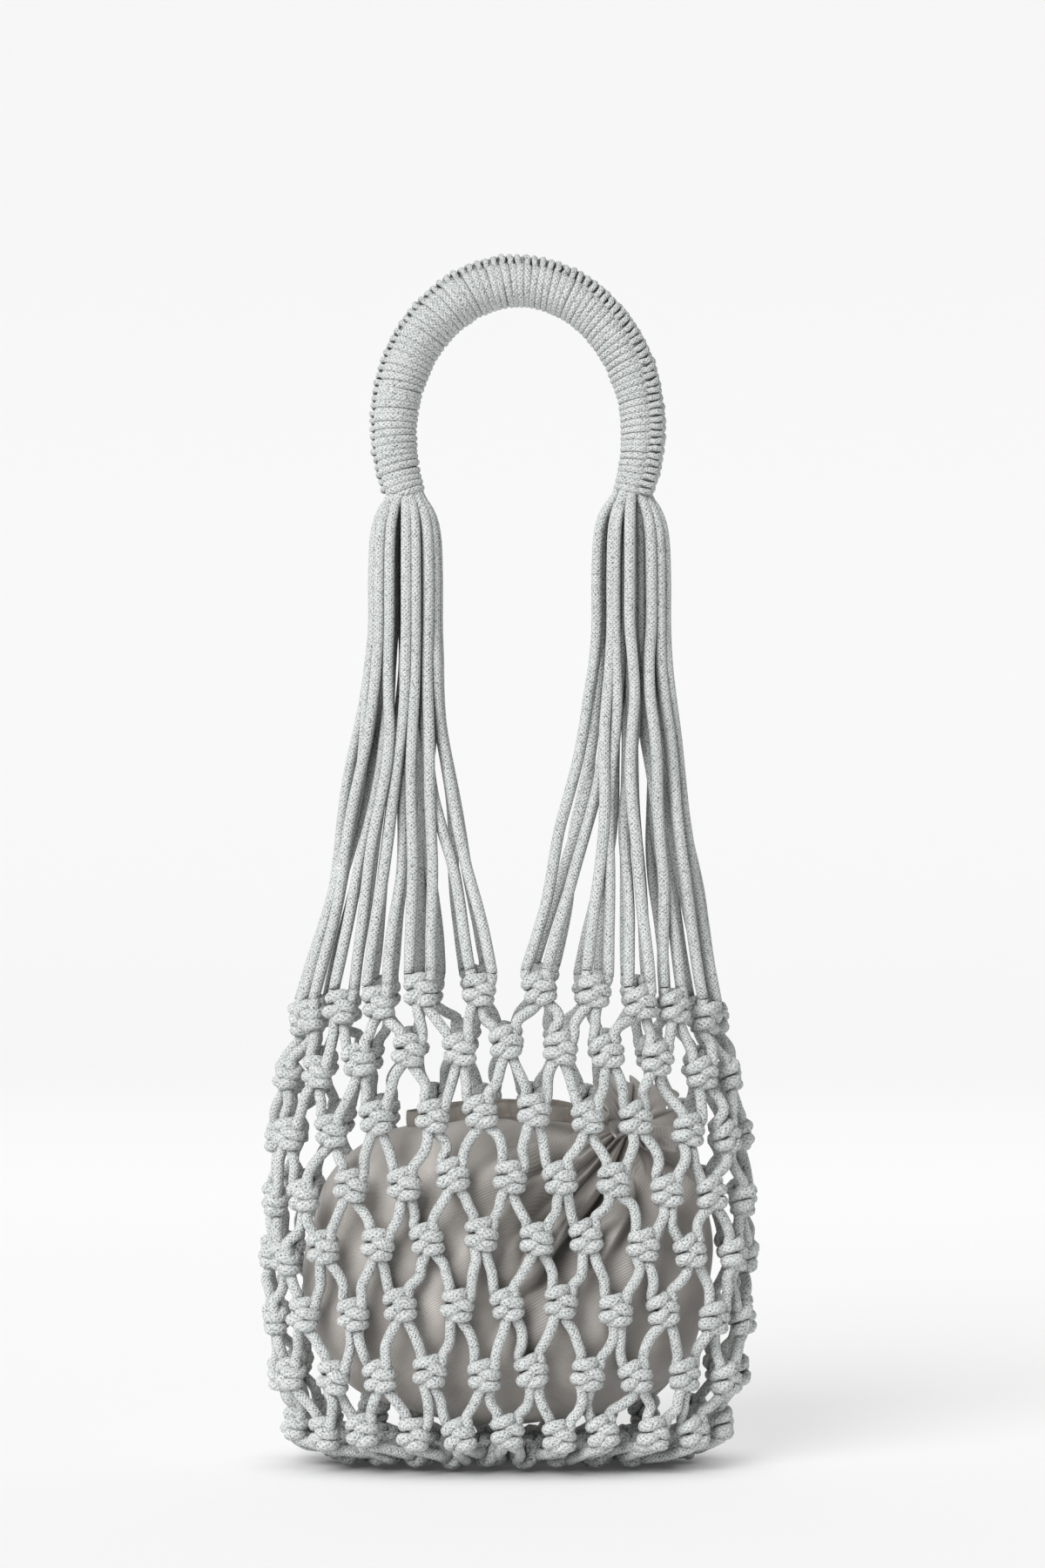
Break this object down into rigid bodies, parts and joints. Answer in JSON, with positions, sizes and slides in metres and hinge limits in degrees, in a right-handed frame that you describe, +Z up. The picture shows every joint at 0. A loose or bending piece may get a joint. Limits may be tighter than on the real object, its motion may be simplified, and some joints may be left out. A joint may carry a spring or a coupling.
{
  "type": "macrame bag",
  "caption": "Knotted cotton net bag with a cord-wound drop handle, bare cord bundles and a gathered cloth drawstring pouch inside.",
  "frame": {"origin": "inner crown of the handle, where the bag hangs on an arm, a shoulder or a round peg", "axes": "+Z up, front towards -Y, width along X with +X on the right as seen from the front"},
  "size_m": [0.238, 0.11, 0.5794],
  "materials": {
    "cotton_cord": "matt heathered pale grey braided cotton",
    "satin_twill": "soft satin twill with a low sheen",
    "flat_tape": "flat woven tape, low sheen"
  },
  "bodies": {
    "root": {"handle_wrap": "cotton_cord", "strands_left": "cotton_cord", "strands_right": "cotton_cord", "knotted_net": "cotton_cord", "fabric_pouch": "satin_twill", "drawstring": "flat_tape"}
  },
  "joints": []
}
